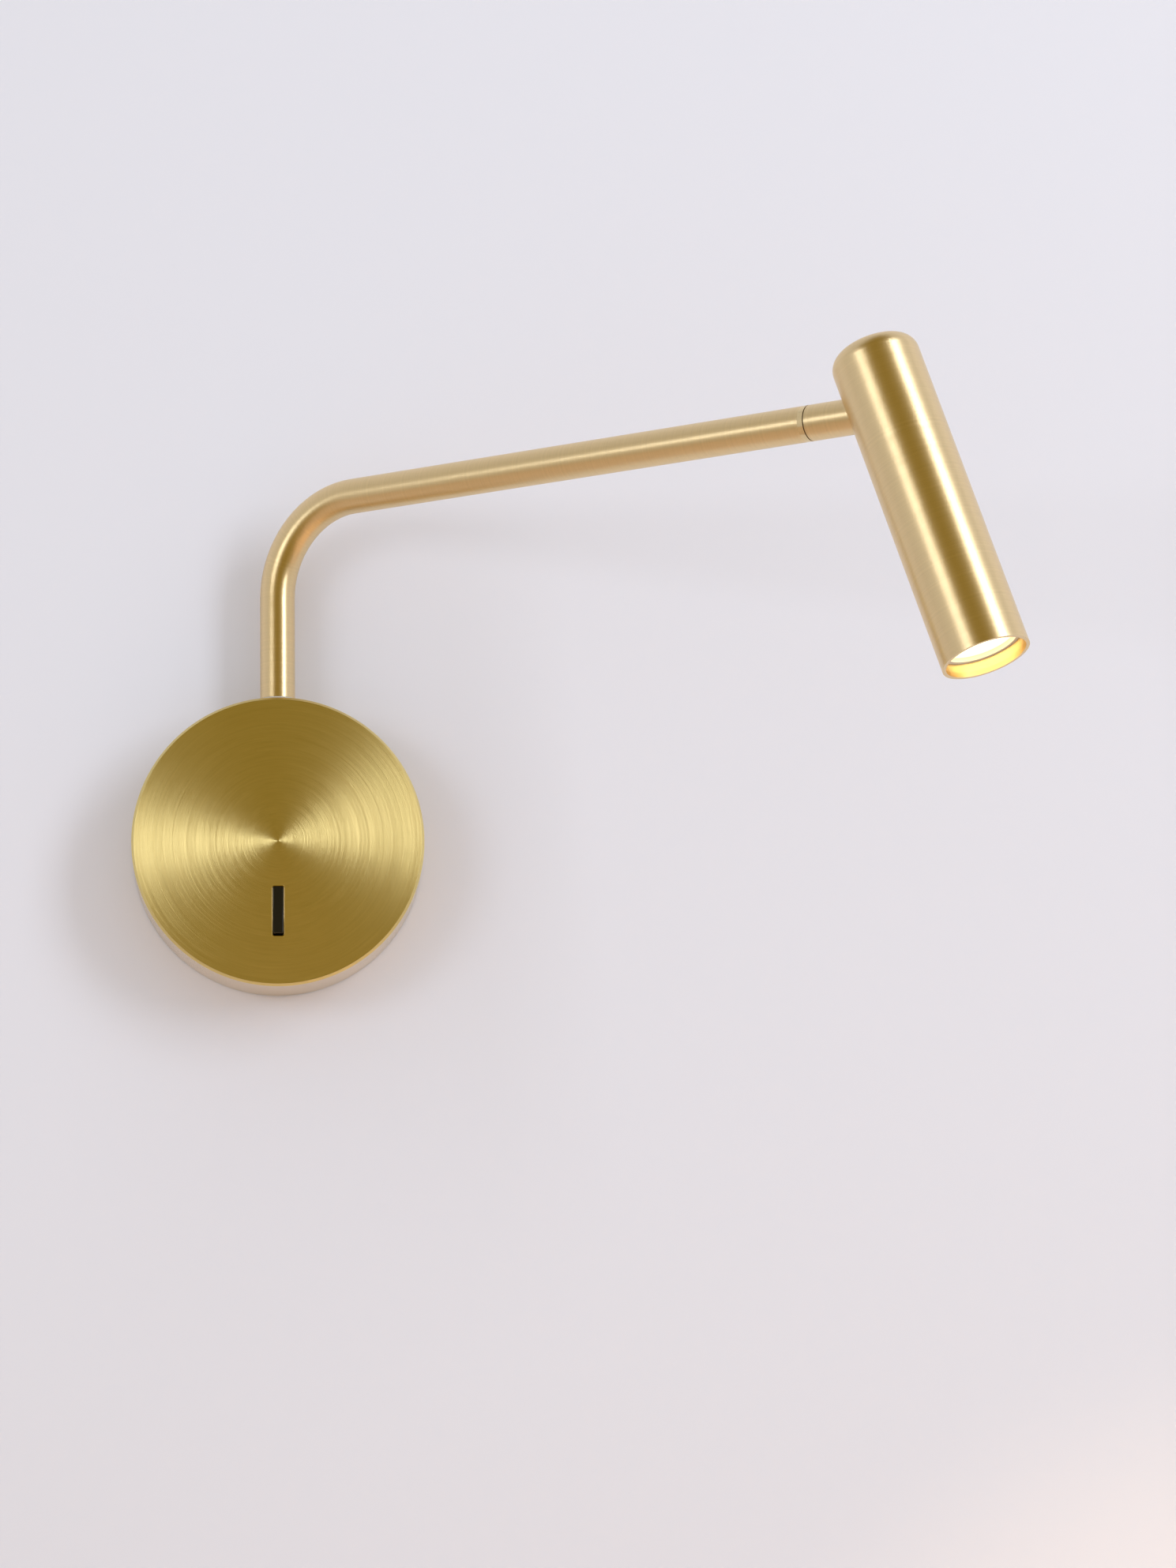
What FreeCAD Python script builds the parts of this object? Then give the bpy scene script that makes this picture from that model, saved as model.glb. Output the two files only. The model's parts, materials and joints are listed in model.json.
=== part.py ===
"""Bedside wall reading lamp: a shallow brass canopy, a bent swing arm and a tilting cylinder head.

Millimetres, +Z up. The origin is the centre of the canopy's back plane, which lies on the wall (y = 0).
The front of the lamp faces -Y, and the arm swings out to +X and towards the viewer.
"""

import FreeCAD, Part
import math
import os

import Sketcher
from FreeCAD import Placement, Rotation, Vector

doc = FreeCAD.newDocument("reading_lamp")
dims = doc.addObject("Spreadsheet::Sheet", "dims")

# Every driving dimension: plain numbers in millimetres and degrees.
SIZES = {
    # canopy: the round cup on the wall
    "canopy_dia": 100.0,
    "canopy_depth": 25.0,
    "canopy_wall": 1.2,
    "canopy_chamfer": 0.8,
    # rocker switch in the canopy's face
    "rocker_drop": 24.2,
    "slot_width": 3.8,
    "slot_length": 17.2,
    "slot_corner": 0.6,
    "rocker_side_gap": 0.15,
    "rocker_end_gap": 0.4,
    "rocker_proud": 0.6,
    "rocker_dish": 1.0,
    "rocker_back": 1.6,
    "rocker_tilt": 7.0,
    "rocker_pivot_depth": 2.4,
    "trunnion_dia": 1.6,
    "trunnion_reach": 0.7,
    "switch_wall": 2.6,
    "switch_depth": 12.0,
    "switch_recess": 4.2,
    "blade_width": 2.8,
    "blade_thick": 0.8,
    "blade_length": 6.0,
    "blade_pitch": 5.0,
    # wall bracket and the screws that hold the canopy on it
    "plate_thick": 1.5,
    "plate_gap": 1.3,
    "wall_screw_pitch": 60.0,
    "wall_slot_width": 4.4,
    "wall_slot_length": 9.0,
    "cable_hole_dia": 20.0,
    "side_screw_dia": 3.0,
    "side_screw_from_wall": 8.0,
    "side_screw_drop": 7.0,
    "side_screw_length": 7.0,
    "side_screw_inset": 0.7,
    "ear_thick": 3.0,
    "ear_width": 10.0,
    "ear_edge": 4.0,
    # arm: a riser, one bend and a straight run to the swivel
    "riser_from_wall": 12.5,
    "tube_dia": 12.0,
    "tube_wall": 1.0,
    "bend_radius": 32.0,
    "arm_rise": 119.0,
    "arm_reach": 215.5,
    "swing_rest": 36.3,
    "swing_span": 170.0,
    # the two pivots, one under the riser and one at the end of the arm
    "saddle_rise": 1.0,
    "saddle_inner": 2.2,
    "saddle_inner_dia": 14.0,
    "thrust_thick": 0.5,
    "stud_dia": 7.0,
    "stud_bore": 4.4,
    "stud_flange_dia": 9.4,
    "stud_flange_thick": 2.5,
    "stud_tail": 2.0,
    "nut_flats": 11.0,
    "nut_height": 4.0,
    "insert_length": 10.0,
    "insert_lip": 1.5,
    "ring_width": 2.0,
    "stop_pin_dia": 1.2,
    "stop_pin_orbit": 4.25,
    "stop_pin_root": 4.0,
    "stop_margin": 1.0,
    "swivel_gap": 0.4,
    "swivel_washer_inset": 0.4,
    "swivel_span": 330.0,
    "spindle_thread": 6.0,
    # collar between the arm and the head
    "collar_length": 31.1,
    "collar_flat": 9.0,
    "tongue_thick": 5.0,
    "lead_exit": 2.2,
    # head
    "head_dia": 29.4,
    "head_wall": 1.2,
    "head_top": 23.3,
    "head_length": 114.3,
    "head_round": 5.5,
    "head_tilt": 20.4,
    "tilt_inward": 20.0,
    "tilt_outward": 30.0,
    "slot_play": 0.3,
    "tilt_pin_dia": 4.0,
    "tilt_washer_thick": 0.4,
    "cheek_thick": 2.2,
    "cheek_radius": 5.0,
    "yoke_drop": 13.0,
    "yoke_thick": 4.0,
    "yoke_screw_place": 7.2,
    "wireway_dia": 3.4,
    "wireway_place": 7.0,
    "sink_length": 45.0,
    "sink_core_dia": 18.0,
    "sink_base": 10.0,
    "fin_count": 8,
    "fin_share": 0.45,
    "pad_thick": 0.4,
    "pad_dia": 14.0,
    "board_thick": 1.6,
    "board_dia": 24.0,
    "board_screw_place": 9.4,
    "emitter_dia": 9.0,
    "emitter_thick": 1.0,
    "reflector_small_dia": 10.4,
    "reflector_wall": 0.8,
    "reflector_length": 18.8,
    "lens_thick": 2.0,
    "ring_thick": 1.5,
    "ring_section": 1.4,
    "small_screw_dia": 2.0,
    "small_head_dia": 3.8,
    "small_head_thick": 1.3,
    "small_screw_depth": 5.0,
    # driver and terminals behind the face
    "driver_width": 24.0,
    "driver_height": 52.0,
    "driver_thick": 17.0,
    "driver_clear": 1.0926,
    "driver_round": 1.5,
    "tape_thick": 1.0,
    "tape_inset": 2.0,
    "block_width": 24.0,
    "block_height": 14.0,
    "block_depth": 12.0,
    "block_left": 10.0,
    "block_low": 13.0,
    "block_screw_dia": 3.2,
    "block_screw_depth": 6.0,
    "earth_x": 19.0,
    "earth_drop": 22.0,
    "earth_screw_dia": 4.0,
    "earth_head_dia": 7.0,
    "earth_head_thick": 2.2,
    # clearances
    "running_fit": 0.05,
    "seat_gap": 0.02,
    "hole_play": 0.2,
}
for row, (alias, number) in enumerate(SIZES.items(), start=1):
    dims.set(f"A{row}", alias)
    dims.set(f"B{row}", str(number))
    dims.setAlias(f"B{row}", alias)
doc.recompute()

# Heights and radii that several pieces share, as expressions over the sheet.
canopy_r = "(dims.canopy_dia / 2)"
canopy_in = f"({canopy_r} - dims.canopy_wall)"
face_in = "(dims.canopy_depth - dims.canopy_wall)"
tube_r = "(dims.tube_dia / 2)"
tube_in = f"({tube_r} - dims.tube_wall)"
insert_r = f"({tube_in} - dims.seat_gap)"
stud_r = "(dims.stud_dia / 2)"
saddle_top = f"({canopy_r} + dims.saddle_rise)"
arm_foot = f"({saddle_top} + dims.thrust_thick)"
insert_top = f"({arm_foot} + dims.insert_length)"
flange_low = f"({insert_top} + dims.running_fit)"
nut_top = f"({canopy_in} - dims.saddle_inner)"
nut_low = f"({nut_top} - dims.nut_height)"
insert_far = "(dims.arm_reach - dims.ring_width)"
insert_near = "(dims.arm_reach - dims.insert_length - dims.ring_width)"
collar_near = "(dims.arm_reach + dims.swivel_gap)"
pivot_x = "(dims.arm_reach + dims.collar_length)"
flat_x = f"({pivot_x} - dims.collar_flat)"
head_r = "(dims.head_dia / 2)"
head_in = f"({head_r} - dims.head_wall)"
core_r = f"({head_in} - dims.seat_gap)"
mouth = "(dims.head_length - dims.head_top)"
yoke_low = "(dims.yoke_drop + dims.yoke_thick)"
sink_low = f"({yoke_low} + dims.sink_length)"
board_top = f"({sink_low} + dims.pad_thick)"
board_low = f"({board_top} + dims.board_thick)"
reflector_low = f"({board_low} + dims.reflector_length)"
lens_low = f"({reflector_low} + dims.lens_thick)"
ring_low = f"({lens_low} + dims.ring_thick)"

probe = doc.addObject("Part::Feature", "probe")


def value(expression):
    """The number that an expression over the sheet gives now."""
    return float(probe.evalExpression(expression))


wall_frame = Placement()
arm_frame = Placement(Vector(0, -value("dims.riser_from_wall"), 0),
                      Rotation(Vector(0, 0, 1), -value("dims.swing_rest")))
head_frame = arm_frame * Placement(Vector(value(pivot_x), 0, value("dims.arm_rise")),
                                   Rotation(Vector(0, 1, 0), -value("dims.head_tilt")))
stud_frame = Placement(Vector(0, -value("dims.riser_from_wall"), 0), Rotation(Vector(0, 0, 1), -90))
rocker_pivot_y = -value("dims.canopy_depth - dims.rocker_pivot_depth")
rocker_frame = Placement(Vector(0, rocker_pivot_y, -value("dims.rocker_drop")),
                         Rotation(Vector(1, 0, 0), -value("dims.rocker_tilt")))

sub_parts = []


def finish(label, item, frame=wall_frame):
    """Names a finished sub-part, puts it in its place and lists it for export."""
    item.Label = label
    item.Placement = frame
    sub_parts.append(item)
    return item


# ---- sketches ----------------------------------------------------------------------------------

def new_body(name):
    return doc.addObject("PartDesign::Body", name)


def sketch_on(body, role, lift="0"):
    """A sketch on one of the body's own origin planes, lifted along the plane's normal."""
    plane = next(item for item in body.Origin.OriginFeatures if item.Role == role)
    sketch = body.newObject("Sketcher::SketchObject", body.Name + "_sketch")
    sketch.AttachmentSupport = [(plane, "")]
    sketch.MapMode = "FlatFace"
    sketch.setExpression("AttachmentOffset.Base.z", lift)
    return sketch


def fix(sketch, kind, number, expression, *geometry):
    index = sketch.addConstraint(Sketcher.Constraint(kind, *geometry, number))
    sketch.setExpression(f"Constraints[{index}]", expression)


def fix_point(sketch, geometry, vertex, across, up):
    fix(sketch, "DistanceX", value(across), across, -1, 1, geometry, vertex)
    fix(sketch, "DistanceY", value(up), up, -1, 1, geometry, vertex)


def outline(corners):
    """A closed outline of straight edges through corners given as (across, up)."""
    def draw(sketch):
        points = [Vector(value(across), value(up), 0) for across, up in corners]
        first = sketch.GeometryCount
        count = len(points)
        for index in range(count):
            sketch.addGeometry(Part.LineSegment(points[index], points[(index + 1) % count]))
        for index in range(count):
            after = first + (index + 1) % count
            sketch.addConstraint(Sketcher.Constraint("Coincident", first + index, 2, after, 1))
        for index, (across, up) in enumerate(corners):
            fix_point(sketch, first + index, 1, across, up)
    return draw


def rectangle(left, low, right, high):
    return outline([(left, low), (right, low), (right, high), (left, high)])


def circle(across, up, radius):
    def draw(sketch):
        centre = Vector(value(across), value(up), 0)
        index = sketch.addGeometry(Part.Circle(centre, Vector(0, 0, 1), value(radius)))
        fix_point(sketch, index, 3, across, up)
        fix(sketch, "Radius", value(radius), radius, index)
    return draw


def obround(start, end, radius):
    """A slot with round ends between two centres on one upright or level line."""
    def draw(sketch):
        first, last = [Vector(value(across), value(up), 0) for across, up in (start, end)]
        along = (last - first).normalize()
        side = Vector(-along.y, along.x, 0) * value(radius)
        angle = math.atan2(side.y, side.x)
        near = sketch.addGeometry(Part.ArcOfCircle(
            Part.Circle(first, Vector(0, 0, 1), value(radius)), angle, angle + math.pi))
        far = sketch.addGeometry(Part.ArcOfCircle(
            Part.Circle(last, Vector(0, 0, 1), value(radius)), angle - math.pi, angle))
        below = sketch.addGeometry(Part.LineSegment(first - side, last - side))
        above = sketch.addGeometry(Part.LineSegment(last + side, first + side))
        for one, its_end, other, other_end in ((near, 2, below, 1), (below, 2, far, 1),
                                               (far, 2, above, 1), (above, 2, near, 1)):
            sketch.addConstraint(Sketcher.Constraint("Tangent", one, its_end, other, other_end))
        for index, (across, up) in ((near, start), (far, end)):
            fix_point(sketch, index, 3, across, up)
            fix(sketch, "Radius", value(radius), radius, index)
    return draw


# ---- features ----------------------------------------------------------------------------------

def turn(body, axis, corners, angle="360", hollow=False):
    """Revolves corners given as (along, radius) about the body's X, Y or Z axis."""
    sketch = sketch_on(body, "XZ_Plane" if axis == "Z" else "XY_Plane")
    points = corners if axis == "X" else [(radius, along) for along, radius in corners]
    outline(points)(sketch)
    doc.recompute()
    kind = "PartDesign::Groove" if hollow else "PartDesign::Revolution"
    feature = body.newObject(kind, body.Name + "_turn")
    feature.Profile = sketch
    feature.ReferenceAxis = (sketch, ["H_Axis" if axis == "X" else "V_Axis"])
    feature.Midplane = True
    feature.setExpression("Angle", angle)
    doc.recompute()
    return feature


def raise_pad(body, role, start, length, *shapes):
    """Pads shapes from the height start along the plane's normal."""
    sketch = sketch_on(body, role, start)
    for draw in shapes:
        draw(sketch)
    doc.recompute()
    feature = body.newObject("PartDesign::Pad", body.Name + "_pad")
    feature.Profile = sketch
    feature.setExpression("Length", length)
    doc.recompute()
    return feature


def cut_pocket(body, role, start, length, *shapes):
    """Cuts shapes from the height start along the plane's normal."""
    sketch = sketch_on(body, role, start)
    for draw in shapes:
        draw(sketch)
    doc.recompute()
    before = body.Shape.Volume
    feature = body.newObject("PartDesign::Pocket", body.Name + "_pocket")
    feature.Profile = sketch
    feature.Reversed = True
    feature.setExpression("Length", length)
    doc.recompute()
    if body.Shape.Volume >= before:
        raise RuntimeError(f"{body.Name}: a pocket cut nothing")
    return feature


def round_edges(body, radius, chosen):
    """Fillets the edges of the body for which chosen(edge) is true."""
    base = body.Tip
    names = [f"Edge{index}" for index, edge in enumerate(base.Shape.Edges, start=1) if chosen(edge)]
    feature = body.newObject("PartDesign::Fillet", body.Name + "_fillet")
    feature.Base = (base, names)
    feature.setExpression("Radius", radius)
    doc.recompute()
    return feature


def turned(name, axis, corners, frame=wall_frame):
    body = new_body(name)
    turn(body, axis, corners)
    return finish(name, body, frame)


# ---- primitives --------------------------------------------------------------------------------

TURNS = {"X": Rotation(Vector(0, 1, 0), 90), "Y": Rotation(Vector(1, 0, 0), 90), "Z": Rotation()}


def place(item, x, y, z):
    for letter, where in (("x", x), ("y", y), ("z", z)):
        item.setExpression(f"Placement.Base.{letter}", where)
    return item


def free_rod(name, radius, length):
    """A cylinder along Z that gets its place when it is finished."""
    item = doc.addObject("Part::Cylinder", name)
    item.setExpression("Radius", radius)
    item.setExpression("Height", length)
    return item


def rod(name, axis, radius, length, x, y, z):
    """A cylinder that starts at (x, y, z) and runs along +X, +Z or, for Y, towards -Y."""
    item = free_rod(name, radius, length)
    item.Placement = Placement(Vector(), TURNS[axis])
    return place(item, x, y, z)


def stand(frame, x, y, z, axis="Z"):
    """A place in frame at expressions x, y and z, with the piece's own Z along the given axis."""
    return frame * Placement(Vector(value(x), value(y), value(z)), TURNS[axis])


def block(name, width, depth, height, x, y, z):
    item = doc.addObject("Part::Box", name)
    item.setExpression("Length", width)
    item.setExpression("Width", depth)
    item.setExpression("Height", height)
    return place(item, x, y, z)


def join(name, kind, items):
    """One object of several: MultiFuse, MultiCommon or Compound."""
    item = doc.addObject(f"Part::{kind}", name)
    if kind == "Compound":
        item.Links = items
    else:
        item.Shapes = items
    return item


def cut(name, base, tools):
    item = doc.addObject("Part::Cut", name)
    item.Base = base
    item.Tool = join(name + "_tools", "MultiFuse", tools) if len(tools) > 1 else tools[0]
    return item


# ---- canopy ------------------------------------------------------------------------------------

canopy = new_body("canopy_shell")
turn(canopy, "Y", [
    ("-dims.canopy_depth", "0"),
    ("-dims.canopy_depth", f"{canopy_r} - dims.canopy_chamfer"),
    ("-dims.canopy_depth + dims.canopy_chamfer", canopy_r),
    ("0", canopy_r),
    ("0", canopy_in),
    (f"-{face_in}", canopy_in),
    (f"-{face_in}", "0")])
cut_pocket(canopy, "XY_Plane", f"{canopy_in} - dims.canopy_wall", "3 * dims.canopy_wall",
           circle("0", "-dims.riser_from_wall", f"{stud_r} + dims.hole_play"))
side_hole = circle("-dims.side_screw_from_wall", "-dims.side_screw_drop",
                   "dims.side_screw_dia / 2 + dims.hole_play")
cut_pocket(canopy, "YZ_Plane", f"{canopy_in} - 2 * dims.canopy_wall", "4 * dims.canopy_wall", side_hole)
cut_pocket(canopy, "YZ_Plane", f"-{canopy_r} - dims.canopy_wall", "4 * dims.canopy_wall", side_hole)
cut_pocket(canopy, "XZ_Plane", face_in, "dims.canopy_wall",
           rectangle("-dims.slot_width / 2", "-dims.rocker_drop - dims.slot_length / 2",
                     "dims.slot_width / 2", "-dims.rocker_drop + dims.slot_length / 2"))


def slot_corner(edge):
    middle = edge.CenterOfMass
    across = abs(abs(middle.x) - value("dims.slot_width / 2"))
    up = abs(abs(middle.z + value("dims.rocker_drop")) - value("dims.slot_length / 2"))
    return across < 1e-4 and up < 1e-4


round_edges(canopy, "dims.slot_corner", slot_corner)
finish("canopy_shell", canopy)

# ---- wall bracket ------------------------------------------------------------------------------
# A pressed steel disc that the wall screws hold, with two ears for the canopy's side screws.

side_screw_tip = f"({canopy_r} - dims.side_screw_inset - dims.side_screw_length)"
ear_low = f"(-dims.side_screw_drop - dims.ear_width / 2)"
ear_high = f"(-dims.side_screw_drop + dims.ear_width / 2)"
ear_far = f"({side_screw_tip} + dims.ear_thick)"
bracket = new_body("wall_bracket")
raise_pad(bracket, "XZ_Plane", "0", "dims.plate_thick",
          circle("0", "0", f"{canopy_in} - dims.plate_gap"),
          circle("0", "0", "dims.cable_hole_dia / 2"))
for side in ("-", ""):
    middle = f"{side}dims.wall_screw_pitch / 2"
    half = "(dims.wall_slot_length - dims.wall_slot_width) / 2"
    cut_pocket(bracket, "XZ_Plane", "0", "dims.plate_thick",
               obround((f"{middle} - {half}", "0"), (f"{middle} + {half}", "0"), "dims.wall_slot_width / 2"))
cut_pocket(bracket, "XZ_Plane", "0", "dims.plate_thick",
           circle("dims.earth_x", "-dims.earth_drop", "dims.earth_screw_dia / 2 + dims.running_fit"))
for near, far in ((side_screw_tip, ear_far), (f"-{ear_far}", f"-{side_screw_tip}")):
    raise_pad(bracket, "XZ_Plane", "dims.plate_thick / 2",
              "dims.side_screw_from_wall + dims.ear_edge - dims.plate_thick / 2",
              rectangle(near, ear_low, far, ear_high))
    cut_pocket(bracket, "YZ_Plane", f"{near} - dims.ear_thick / 2", "2 * dims.ear_thick",
               circle("-dims.side_screw_from_wall", "-dims.side_screw_drop",
                      "dims.side_screw_dia / 2 + dims.seat_gap"))
finish("wall_bracket", bracket)

side_screws = [rod(f"side_screw_{index}", "X", "dims.side_screw_dia / 2", "dims.side_screw_length", start,
                   "-dims.side_screw_from_wall", "-dims.side_screw_drop")
               for index, start in enumerate((side_screw_tip,
                                              f"-{side_screw_tip} - dims.side_screw_length"))]
finish("canopy_screws", join("canopy_screws", "Compound", side_screws))

# ---- pivot under the riser ---------------------------------------------------------------------
# A hollow stud clamps two saddles on the round rim. The arm's insert turns on the stud, between the
# thrust washer and the stud's flange, and the flange's tooth meets the stop pin at both ends.

riser_y = "-dims.riser_from_wall"
rim_outside = rod("rim_outside", "Y", canopy_r, "dims.canopy_depth", "0", "0", "0")
rim_inside = rod("rim_inside", "Y", canopy_in, "dims.canopy_depth", "0", "0", "0")
saddle_bar = rod("saddle_bar", "Z", tube_r, "2 * dims.saddle_rise + dims.canopy_wall", "0", riser_y,
                 f"{canopy_r} - dims.saddle_rise - dims.canopy_wall")
saddle_hole = rod("saddle_hole", "Z", f"{stud_r} + dims.hole_play", "dims.canopy_dia", "0", riser_y, "0")
finish("saddle_washer", cut("saddle_washer", saddle_bar, [rim_outside, saddle_hole]))
lower_bar = rod("lower_bar", "Z", "dims.saddle_inner_dia / 2", "2 * dims.saddle_inner", "0", riser_y, nut_top)
lower_saddle = join("lower_saddle", "MultiCommon", [lower_bar, rim_inside])
lower_hole = rod("lower_hole", "Z", f"{stud_r} + dims.hole_play", "dims.canopy_dia", "0", riser_y, "0")
finish("inner_saddle_washer", cut("inner_saddle_washer", lower_saddle, [lower_hole]))

nut_bar = doc.addObject("Part::Prism", "nut_bar")
nut_bar.Polygon = 6
nut_bar.setExpression("Circumradius", "dims.nut_flats / sqrt(3)")
nut_bar.setExpression("Height", "dims.nut_height")
place(nut_bar, "0", riser_y, nut_low)
nut_hole = rod("nut_hole", "Z", f"{stud_r} + dims.seat_gap", "dims.canopy_dia", "0", riser_y, "0")
finish("base_nut", cut("base_nut", nut_bar, [nut_hole]))

riser_frame = Placement(Vector(0, -value("dims.riser_from_wall"), 0), Rotation())
turned("thrust_washer", "Z", [
    (saddle_top, f"{stud_r} + dims.hole_play"), (saddle_top, f"{tube_r} - dims.hole_play"),
    (arm_foot, f"{tube_r} - dims.hole_play"), (arm_foot, f"{stud_r} + dims.hole_play")], riser_frame)

stop_angle = "2 * asin(dims.stop_pin_dia / 2 / dims.stop_pin_orbit)"


def pivot_stud(name, axis, foot, neck, face, span, frame):
    """A hollow stud from foot past the neck to the flange's face, with a tooth that leaves span free."""
    body = new_body(name)
    bore = "dims.stud_bore / 2"
    turn(body, axis, [(foot, bore), (foot, stud_r), (face, stud_r), (face, bore)])
    turn(body, axis, [(neck, bore), (neck, "dims.stud_flange_dia / 2"),
                      (face, "dims.stud_flange_dia / 2"), (face, bore)],
         f"(360 - {span} - 2 * dims.stop_margin) * 1 deg - {stop_angle}")
    return finish(name, body, frame)


pivot_stud("base_stud", "Z", f"{nut_low} - dims.stud_tail", flange_low,
           f"{flange_low} + dims.stud_flange_thick", "dims.swing_span", stud_frame)

# ---- arm ---------------------------------------------------------------------------------------

arm = new_body("arm_tube")
path = sketch_on(arm, "XZ_Plane")
bend_z = value("dims.arm_rise - dims.bend_radius")
bend_r = value("dims.bend_radius")
tube_low = f"({arm_foot} + dims.insert_lip)"
tube_start = Vector(0, value(tube_low), 0)
tube_end = Vector(value(insert_far), value("dims.arm_rise"), 0)
path.addGeometry(Part.LineSegment(tube_start, Vector(0, bend_z, 0)))
path.addGeometry(Part.ArcOfCircle(Part.Circle(Vector(bend_r, bend_z, 0), Vector(0, 0, 1), bend_r),
                                  math.pi / 2, math.pi))
path.addGeometry(Part.LineSegment(Vector(bend_r, tube_end.y, 0), tube_end))
path.addConstraint(Sketcher.Constraint("Tangent", 0, 2, 1, 2))
path.addConstraint(Sketcher.Constraint("Tangent", 1, 1, 2, 1))
path.addConstraint(Sketcher.Constraint("Vertical", 0))
path.addConstraint(Sketcher.Constraint("Horizontal", 2))
fix_point(path, 0, 1, "0", tube_low)
fix_point(path, 2, 2, insert_far, "dims.arm_rise")
fix(path, "Radius", bend_r, "dims.bend_radius", 1)
section = sketch_on(arm, "XY_Plane", tube_low)
circle("0", "0", tube_r)(section)
circle("0", "0", tube_in)(section)
doc.recompute()
pipe = arm.newObject("PartDesign::AdditivePipe", "arm_pipe")
pipe.Profile = section
pipe.Spine = (path, ["Edge1", "Edge2", "Edge3"])
doc.recompute()
path_length = value(f"{insert_far} - {tube_low} + dims.arm_rise - 2 * dims.bend_radius") + math.pi / 2 * bend_r
ring_area = math.pi * (value(tube_r) ** 2 - value(tube_in) ** 2)
if abs(arm.Shape.Volume / (ring_area * path_length) - 1) > 1e-4:
    raise RuntimeError("the arm tube's volume is not its section times its length")
finish("arm_tube", arm, arm_frame)


def pivot_insert(name, axis, back, lip_start, lip_end, frame, pin_hole):
    """A plug in the tube: its lip is as wide as the tube, and its bore turns on the stud."""
    body = new_body(name)
    bore = f"{stud_r} + dims.running_fit"
    turn(body, axis, [(back, bore), (back, insert_r), (lip_start, insert_r), (lip_start, tube_r),
                      (lip_end, tube_r), (lip_end, bore)])
    plane, hole_start = pin_hole
    cut_pocket(body, plane, hole_start, "dims.stop_pin_root",
               circle("-dims.stop_pin_orbit", "0", "dims.stop_pin_dia / 2"))
    return finish(name, body, frame)


swivel_frame = arm_frame * Placement(Vector(0, 0, value("dims.arm_rise")), Rotation())
pivot_insert("arm_foot_insert", "Z", insert_top, tube_low, arm_foot, arm_frame,
             ("XY_Plane", f"{insert_top} - dims.stop_pin_root"))
pivot_insert("arm_end_insert", "X", insert_near, insert_far, "dims.arm_reach", swivel_frame,
             ("YZ_Plane", insert_near))
stop_length = "(dims.stop_pin_root + dims.running_fit + dims.stud_flange_thick)"
finish("swing_stop_pin", free_rod("swing_stop_pin", "dims.stop_pin_dia / 2", stop_length),
       stand(arm_frame, "-dims.stop_pin_orbit", "0", f"{insert_top} - dims.stop_pin_root"))
finish("swivel_stop_pin", free_rod("swivel_stop_pin", "dims.stop_pin_dia / 2", stop_length),
       stand(swivel_frame, f"{insert_near} + dims.stop_pin_root - {stop_length}", "-dims.stop_pin_orbit", "0",
             "X"))
turned("swivel_washer", "X", [
    ("dims.arm_reach", f"{stud_r} + dims.hole_play"), ("dims.arm_reach", f"{tube_r} - dims.swivel_washer_inset"),
    (collar_near, f"{tube_r} - dims.swivel_washer_inset"), (collar_near, f"{stud_r} + dims.hole_play")],
    swivel_frame)

# ---- collar ------------------------------------------------------------------------------------
# The bar is milled flat on both sides into a round-ended tongue, and the spindle screws into it.

spindle_end = f"({collar_near} + dims.spindle_thread)"
bar = rod("collar_bar", "X", tube_r, f"{flat_x} - {collar_near}", collar_near, "0", "0")
tongue_bar = rod("tongue_bar", "X", tube_r, f"dims.collar_flat + {tube_r}", flat_x, "0", "0")
tongue_blank = new_body("tongue_blank")
raise_pad(tongue_blank, "XZ_Plane", "-dims.tongue_thick / 2", "dims.tongue_thick",
          obround((flat_x, "0"), (pivot_x, "0"), tube_r))
tongue = join("tongue", "MultiCommon", [tongue_bar, tongue_blank])
collar = join("collar_blank", "MultiFuse", [bar, tongue])
lead_end = f"({flat_x} - dims.lead_exit)"
collar_tools = [
    rod("spindle_hole", "X", f"{stud_r} + dims.seat_gap", "dims.spindle_thread", collar_near, "0", "0"),
    rod("lead_hole", "X", "dims.stud_bore / 2", f"{lead_end} - {collar_near}", collar_near, "0", "0"),
    rod("lead_outlet", "Z", "dims.stud_bore / 2", tube_r, lead_end, "0", f"-{tube_r}"),
    rod("tilt_hole", "Y", "dims.tilt_pin_dia / 2 + dims.running_fit", "2 * dims.tongue_thick", pivot_x,
        "dims.tongue_thick", "0")]
finish("swivel_collar", cut("swivel_collar", collar, collar_tools), swivel_frame)
pivot_stud("swivel_spindle", "X", spindle_end, f"({insert_near} - dims.running_fit)",
           f"({insert_near} - dims.running_fit - dims.stud_flange_thick)", "dims.swivel_span", swivel_frame)

# ---- head --------------------------------------------------------------------------------------
# In the head's own frame the tilt pin lies along Y, the closed end is up and the arm comes from -X.

shell = new_body("head_shell")
turn(shell, "Z", [
    ("dims.head_top", "0"), ("dims.head_top", head_r), (f"-{mouth}", head_r), (f"-{mouth}", head_in),
    ("dims.head_top - dims.head_wall", head_in), ("dims.head_top - dims.head_wall", "0")])


def rim_at(height, radius):
    def chosen(edge):
        box = edge.BoundBox
        return (abs(box.ZMin - value(height)) < 1e-4 and abs(box.ZMax - value(height)) < 1e-4
                and abs(box.XMax - value(radius)) < 1e-3)
    return chosen


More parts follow.
